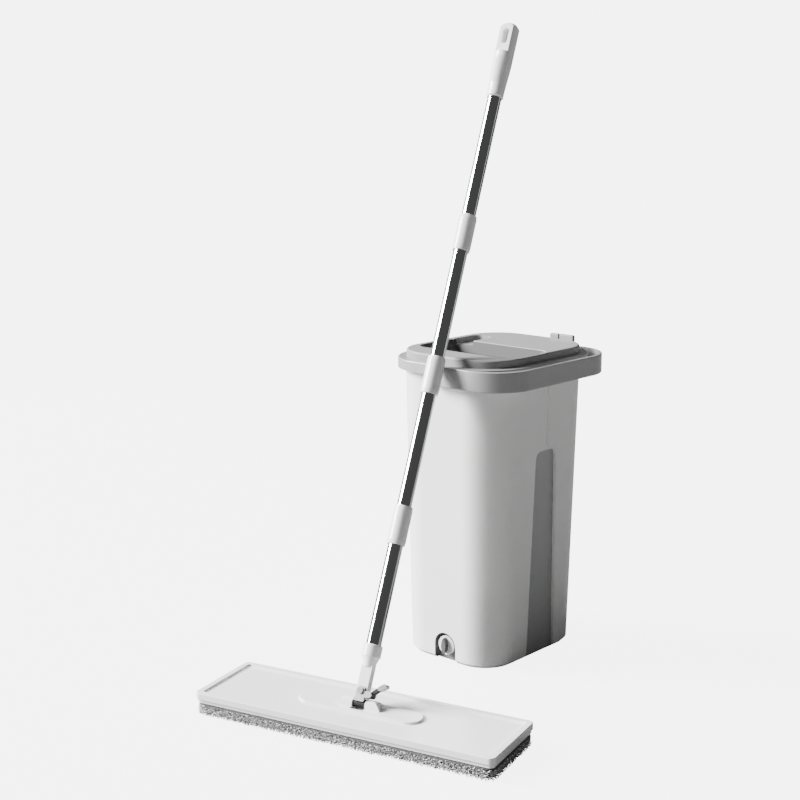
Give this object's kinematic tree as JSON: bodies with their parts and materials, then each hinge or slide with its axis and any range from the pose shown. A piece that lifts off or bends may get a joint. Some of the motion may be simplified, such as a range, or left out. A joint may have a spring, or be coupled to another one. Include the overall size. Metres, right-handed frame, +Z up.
{
  "type": "mop and bucket with wringer",
  "caption": "Flat mop leaning on a tall bucket: steel pole, hinged rectangular head with looped pad, dished wringer insert, side carry handle and drain plug.",
  "frame": {"origin": "middle of the bucket's base, on the floor", "axes": "+Z up; -Y is the bucket face that the mop leans on and that holds the drain; +X is the face with the pressed-in panel and the carry handle's bight"},
  "size_m": [0.4418, 0.6055, 0.894],
  "materials": {
    "white_plastic": "moulded polypropylene, satin gloss",
    "grey_plastic": "moulded polypropylene, satin gloss",
    "white_abs": "moulded ABS, glossy",
    "black_nylon": "moulded nylon, matt",
    "stainless_steel": "polished stainless tube",
    "steel_fastener": "zinc-plated steel",
    "pale_metal": "die-cast, satin",
    "soft_rubber": "soft moulded elastomer",
    "roller_foam": "moulded, matt",
    "microfibre": "looped microfibre pile",
    "hook_tape": "woven hook tape",
    "grey_grip": "soft-touch elastomer"
  },
  "bodies": {
    "bucket": {"bucket_shell": "white_plastic", "rim_ring": "grey_plastic", "handle_pivot_pins": "grey_plastic", "wringer_housing": "grey_plastic", "roller_axle": "steel_fastener", "roller_brackets": "grey_plastic", "bracket_screws": "steel_fastener", "scraper_holder": "grey_plastic", "scraper_blade": "soft_rubber", "wash_board": "grey_plastic"},
    "carry_handle": {"carry_handle": "grey_plastic"},
    "squeeze_roller": {"squeeze_roller": "roller_foam"},
    "drain_slider": {"drain_seal": "soft_rubber"},
    "drain_plug": {"drain_plug": "white_plastic"},
    "mop_head": {"microfibre_pad": "microfibre", "hook_strips": "hook_tape", "base_tray": "white_abs", "head_deck": "white_abs", "hinge_mount": "white_abs", "hinge_pin": "steel_fastener"},
    "yoke": {"hinge_barrel": "black_nylon", "yoke": "pale_metal", "tilt_screw": "steel_fastener", "tilt_nut": "steel_fastener", "lever_pin": "steel_fastener", "lever_spring": "steel_fastener"},
    "lock_lever": {"lock_lever": "black_nylon", "lever_pad": "grey_plastic"},
    "pole": {"pole_socket": "white_abs", "thread_plugs": "white_abs", "grip": "white_abs", "grip_panel": "grey_grip", "tube_1": "stainless_steel", "tube_2": "stainless_steel", "tube_3": "stainless_steel", "tube_4": "stainless_steel", "joining_sleeve_1": "white_abs", "joining_sleeve_2": "white_abs", "joining_sleeve_3": "white_abs"}
  },
  "joints": [
    {"name": "mop_lift", "type": "slide", "parent": "bucket", "child": "mop_head", "axis": [0, 0, 1], "range_m": [0, 0.45]},
    {"name": "handle_raise", "type": "hinge", "parent": "bucket", "child": "carry_handle", "pos_m": [0, 0, 0.418], "axis": [0, -1, 0], "range_deg": [0, 90]},
    {"name": "head_swing", "type": "hinge", "parent": "mop_head", "child": "yoke", "pos_m": [0.075, -0.358, 0.034], "axis": [0.9703, 0.2419, 0], "range_deg": [0, 78]},
    {"name": "pole_tilt", "type": "hinge", "parent": "yoke", "child": "pole", "pos_m": [0.07315, -0.3506, 0.04806], "axis": [0.2126, -0.8529, 0.4769], "range_deg": [0, 89]},
    {"name": "lever_press", "type": "hinge", "parent": "yoke", "child": "lock_lever", "pos_m": [0.0852, -0.34931, 0.04499], "axis": [-0.2126, 0.8529, -0.4769], "range_deg": [0, 18], "stiffness_Nm_per_rad": 0.2},
    {"name": "roller_spin", "type": "hinge", "parent": "bucket", "child": "squeeze_roller", "pos_m": [0, 0.016, 0.397], "axis": [1, 0, 0], "continuous": true},
    {"name": "drain_pull", "type": "slide", "parent": "bucket", "child": "drain_slider", "axis": [0, -1, 0], "range_m": [0, 0.03]},
    {"name": "drain_turn", "type": "hinge", "parent": "drain_slider", "child": "drain_plug", "pos_m": [0.004, -0.1, 0.023], "axis": [0, 1, 0], "range_deg": [0, 90]}
  ],
  "couplings": [
    {"joint": "handle_raise", "follows": "mop_lift", "rad_per_m": 3.49}
  ]
}
